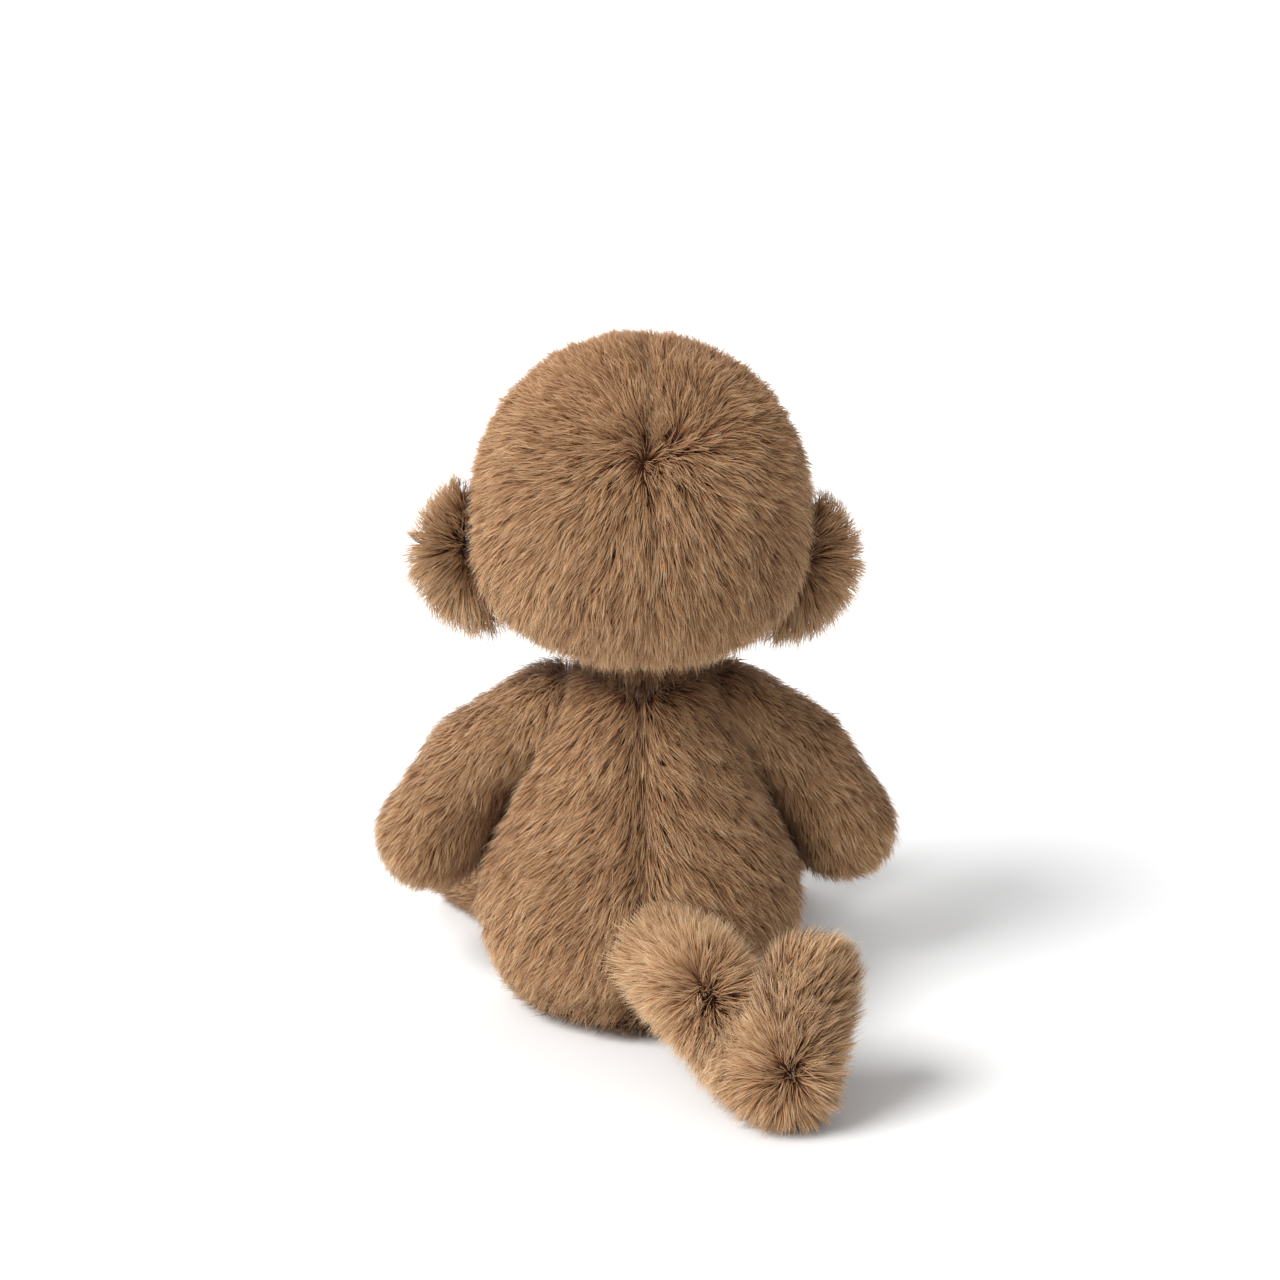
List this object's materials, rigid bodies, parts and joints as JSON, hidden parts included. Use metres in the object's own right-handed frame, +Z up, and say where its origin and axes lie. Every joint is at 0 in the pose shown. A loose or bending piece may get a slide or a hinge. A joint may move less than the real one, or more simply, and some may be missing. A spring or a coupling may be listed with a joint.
{
  "type": "stuffed monkey",
  "caption": "Long-pile plush monkey that sits on a weighted flat seat, with a turning head, folding ears, swinging arms, lifting legs and a curled tail.",
  "frame": {"origin": "middle of the flat seat, on the surface that the toy sits on", "axes": "+Z up, the face looks along -Y, the monkey's own left side is +X"},
  "size_m": [0.193, 0.2448, 0.249],
  "materials": {
    "long_pile": "long tan plush pile with pale tips and reddish roots",
    "short_pile": "short cream velour",
    "stuffing": "loose white polyester fibre",
    "bag_cloth": "plain woven cotton",
    "pellets": "small plastic beads",
    "thread": "dark brown satin stitch",
    "eye_plastic": "polished black",
    "washer_plastic": "moulded white"
  },
  "bodies": {
    "torso": {"body_back_left": "long_pile", "body_back_right": "long_pile", "body_belly": "long_pile", "body_seat": "long_pile", "body_stuffing": "stuffing", "pellet_bag": "bag_cloth", "bean_pellets": "pellets"},
    "neck": {"neck_stuffing": "stuffing"},
    "head": {"head_back_left": "long_pile", "head_back_right": "long_pile", "head_front": "long_pile", "face_mask": "short_pile", "muzzle_cover": "short_pile", "muzzle_stuffing": "stuffing", "nose": "thread", "mouth_stitches": "thread", "eye_left": "eye_plastic", "eye_right": "eye_plastic", "eye_washer_left": "washer_plastic", "eye_washer_right": "washer_plastic", "head_stuffing": "stuffing"},
    "ear_left": {"ear_left_back": "long_pile", "ear_left_front": "short_pile", "ear_left_wadding": "stuffing"},
    "ear_right": {"ear_right_back": "long_pile", "ear_right_front": "short_pile", "ear_right_wadding": "stuffing"},
    "arm_left": {"arm_left_outer": "long_pile", "arm_left_inner": "long_pile", "arm_left_stuffing": "stuffing"},
    "arm_right": {"arm_right_outer": "long_pile", "arm_right_inner": "long_pile", "arm_right_stuffing": "stuffing"},
    "leg_left": {"leg_left_upper": "long_pile", "leg_left_lower": "long_pile", "leg_left_sole": "short_pile", "leg_left_stuffing": "stuffing"},
    "leg_right": {"leg_right_upper": "long_pile", "leg_right_lower": "long_pile", "leg_right_sole": "short_pile", "leg_right_stuffing": "stuffing"},
    "tail": {"tail_cover": "long_pile", "tail_stuffing": "stuffing"}
  },
  "joints": [
    {"name": "neck_turn", "type": "hinge", "parent": "torso", "child": "neck", "pos_m": [0, 0, 0.128], "axis": [0, 0, 1], "range_deg": [-35, 35], "stiffness_Nm_per_rad": 0.5},
    {"name": "neck_nod", "type": "hinge", "parent": "neck", "child": "head", "pos_m": [0, 0, 0.142], "axis": [1, 0, 0], "range_deg": [-10, 10], "stiffness_Nm_per_rad": 0.8},
    {"name": "ear_left_fold", "type": "hinge", "parent": "head", "child": "ear_left", "pos_m": [0.06014, 0.00206, 0.17364], "axis": [-0.061, 0, 0.9981], "range_deg": [-18, 18], "stiffness_Nm_per_rad": 0.02},
    {"name": "ear_right_fold", "type": "hinge", "parent": "head", "child": "ear_right", "pos_m": [-0.05757, -0.00206, 0.16644], "axis": [-0.061, 0, 0.9981], "range_deg": [-18, 18], "stiffness_Nm_per_rad": 0.02},
    {"name": "arm_left_swing", "type": "hinge", "parent": "torso", "child": "arm_left", "pos_m": [0.031, -0.008, 0.111], "axis": [-1, 0, 0], "range_deg": [-25, 110], "stiffness_Nm_per_rad": 0.15},
    {"name": "arm_right_swing", "type": "hinge", "parent": "torso", "child": "arm_right", "pos_m": [-0.031, -0.008, 0.111], "axis": [-1, 0, 0], "range_deg": [-25, 110], "stiffness_Nm_per_rad": 0.15},
    {"name": "leg_left_lift", "type": "hinge", "parent": "torso", "child": "leg_left", "pos_m": [0.034, -0.04399, 0.0195], "axis": [-1, 0, 0], "range_deg": [0, 45], "stiffness_Nm_per_rad": 0.15},
    {"name": "leg_right_lift", "type": "hinge", "parent": "torso", "child": "leg_right", "pos_m": [-0.034, -0.04399, 0.0195], "axis": [-1, 0, 0], "range_deg": [0, 45], "stiffness_Nm_per_rad": 0.15},
    {"name": "tail_swing", "type": "hinge", "parent": "torso", "child": "tail", "pos_m": [-0.004, 0.056, 0.039], "axis": [0, 0, 1], "range_deg": [-45, 8], "stiffness_Nm_per_rad": 0.05}
  ]
}
